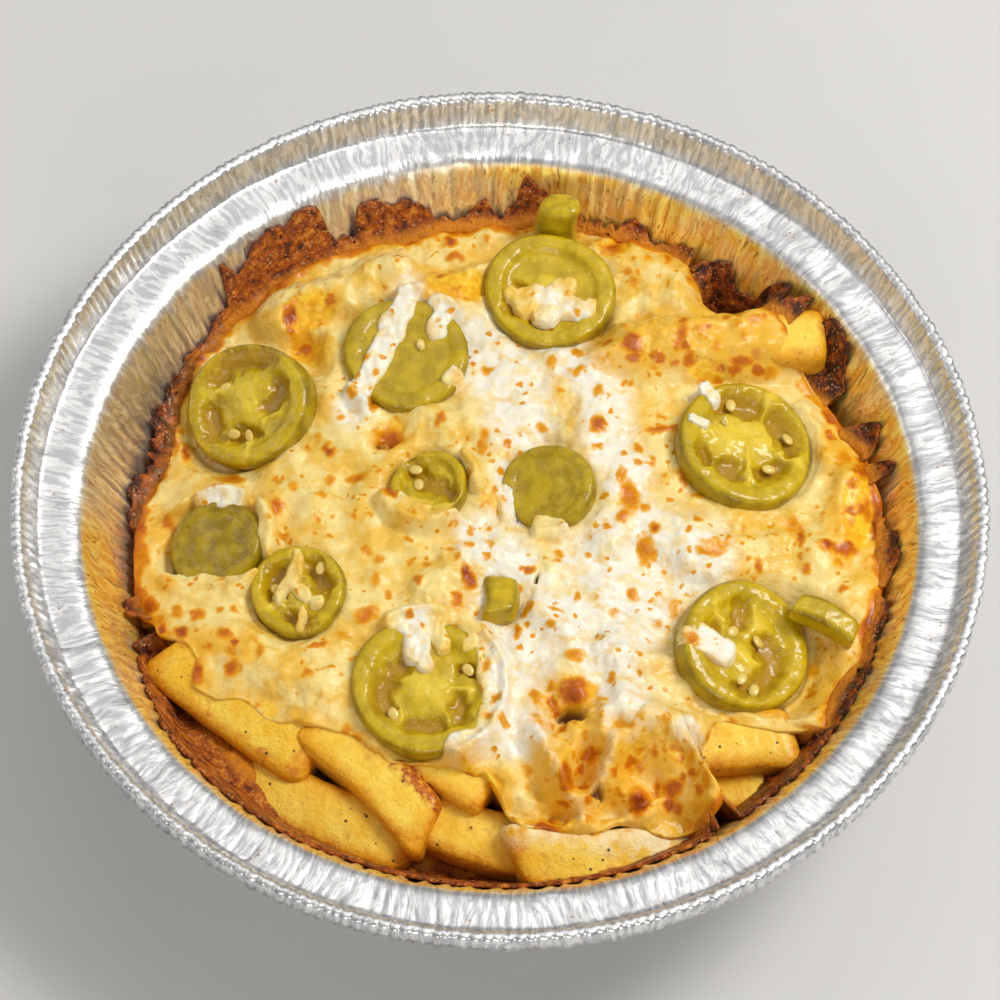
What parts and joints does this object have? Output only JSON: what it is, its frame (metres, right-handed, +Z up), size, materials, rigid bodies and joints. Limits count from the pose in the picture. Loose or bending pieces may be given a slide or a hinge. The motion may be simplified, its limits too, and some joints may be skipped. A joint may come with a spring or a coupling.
{
  "type": "cheese fries in a foil pan",
  "caption": "Thick-cut fries baked under melted cheese with pickled jalapeno slices, served in a round crimped foil takeout pan.",
  "frame": {"origin": "middle of the pan's flat underside, on the surface that it stands on", "axes": "+Z up through the middle of the pan, -Y towards the side where the bare fries show, +X to the right seen from there"},
  "size_m": [0.1814, 0.1814, 0.0459],
  "materials": {
    "foil": "bright pressed foil, finely wrinkled",
    "fried_potato": "golden fried skin with browned edges and pepper specks",
    "melted_cheese": "soft oily sheen, cream with orange and brown blisters",
    "burnt_cheese": "dark red-brown granular crust",
    "pickled_pepper": "wet olive green skin and flesh"
  },
  "bodies": {
    "root": {"foil_pan": "foil", "fries_heap": "fried_potato", "melted_cheese": "melted_cheese", "jalapeno_1": "pickled_pepper", "jalapeno_2": "pickled_pepper", "jalapeno_3": "pickled_pepper", "jalapeno_4": "pickled_pepper", "jalapeno_5": "pickled_pepper", "jalapeno_6": "pickled_pepper", "jalapeno_7": "pickled_pepper", "jalapeno_8": "pickled_pepper", "jalapeno_9": "pickled_pepper", "jalapeno_10": "pickled_pepper", "jalapeno_11": "pickled_pepper", "jalapeno_12": "pickled_pepper", "jalapeno_13": "pickled_pepper"}
  },
  "joints": []
}
